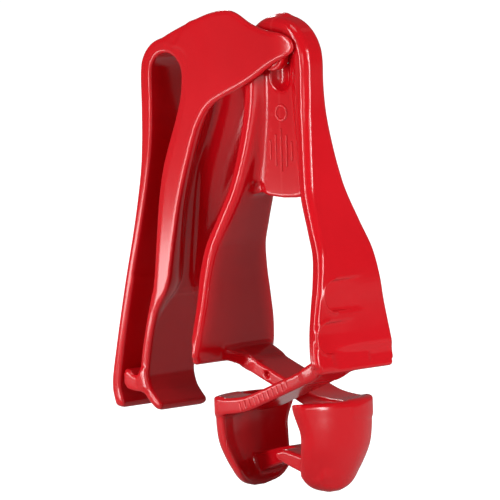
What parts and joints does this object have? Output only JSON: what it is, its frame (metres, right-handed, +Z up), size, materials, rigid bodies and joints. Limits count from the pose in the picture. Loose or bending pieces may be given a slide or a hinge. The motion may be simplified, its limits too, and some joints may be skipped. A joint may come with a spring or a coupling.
{
  "type": "glove clip with belt clip",
  "caption": "Moulded plastic glove holder: a belt clip with a sprung strap, pinned to a squeeze-to-open wishbone clip whose arms cross to two toothed scoop jaws.",
  "frame": {"origin": "a point on the belt seat, the flat on the slot side of the belt clip's front strap that rests against the belt, in the mid-plane of the glove clip", "axes": "+Z up along the hanging clip, +X away from the wearer from the belt seat towards the glove clip, +Y along the belt"},
  "size_m": [0.0574, 0.0204, 0.0838],
  "materials": {
    "hanger_plate_red": "glossy injection-moulded red acetal",
    "rear_flange_red": "glossy injection-moulded red acetal",
    "crown_strap_red": "glossy injection-moulded red acetal",
    "front_leg_red": "glossy injection-moulded red acetal",
    "belt_hook_red": "glossy injection-moulded red acetal",
    "back_leg_red": "glossy injection-moulded red acetal",
    "snap_pin_red": "glossy injection-moulded red acetal",
    "bow_red": "glossy injection-moulded red acetal",
    "web_plate_red": "glossy injection-moulded red acetal",
    "left_handle_red": "glossy injection-moulded red acetal",
    "left_cross_arm_red": "glossy injection-moulded red acetal",
    "right_jaw_red": "glossy injection-moulded red acetal",
    "right_jaw_tooth_red": "glossy injection-moulded red acetal",
    "right_handle_red": "glossy injection-moulded red acetal",
    "right_cross_arm_red": "glossy injection-moulded red acetal",
    "left_jaw_red": "glossy injection-moulded red acetal",
    "left_jaw_tooth_red": "glossy injection-moulded red acetal"
  },
  "bodies": {
    "belt_clip": {"hanger_plate": "hanger_plate_red", "rear_flange": "rear_flange_red", "crown_strap": "crown_strap_red", "front_leg": "front_leg_red", "belt_hook": "belt_hook_red"},
    "back_leg": {"back_leg": "back_leg_red"},
    "snap_pin": {"snap_pin": "snap_pin_red"},
    "glove_clip_head": {"bow": "bow_red", "web_plate": "web_plate_red"},
    "left_lever": {"left_handle": "left_handle_red", "left_cross_arm": "left_cross_arm_red", "right_jaw": "right_jaw_red", "right_jaw_tooth": "right_jaw_tooth_red"},
    "right_lever": {"right_handle": "right_handle_red", "right_cross_arm": "right_cross_arm_red", "left_jaw": "left_jaw_red", "left_jaw_tooth": "left_jaw_tooth_red"}
  },
  "joints": [
    {"name": "strap_flex", "type": "hinge", "parent": "belt_clip", "child": "back_leg", "pos_m": [-0.00105, 0, 0.03], "axis": [0, 1, 0], "range_deg": [0, 8], "stiffness_Nm_per_rad": 1.2},
    {"name": "swivel", "type": "hinge", "parent": "belt_clip", "child": "snap_pin", "pos_m": [0.029, 0, 0.0346], "axis": [0, 1, 0], "range_deg": [-170, 5]},
    {"name": "breakaway", "type": "slide", "parent": "snap_pin", "child": "glove_clip_head", "axis": [0, 1, 0], "range_m": [0, 0.008]},
    {"name": "left_squeeze", "type": "hinge", "parent": "glove_clip_head", "child": "left_lever", "pos_m": [0.0181, 0, 0.005], "axis": [0, -1, 0], "range_deg": [0, 10], "stiffness_Nm_per_rad": 1.5},
    {"name": "right_squeeze", "type": "hinge", "parent": "glove_clip_head", "child": "right_lever", "pos_m": [0.0399, 0, 0.005], "axis": [0, 1, 0], "range_deg": [0, 10], "stiffness_Nm_per_rad": 1.5}
  ],
  "couplings": [
    {"joint": "right_squeeze", "follows": "left_squeeze", "ratio": 1}
  ]
}
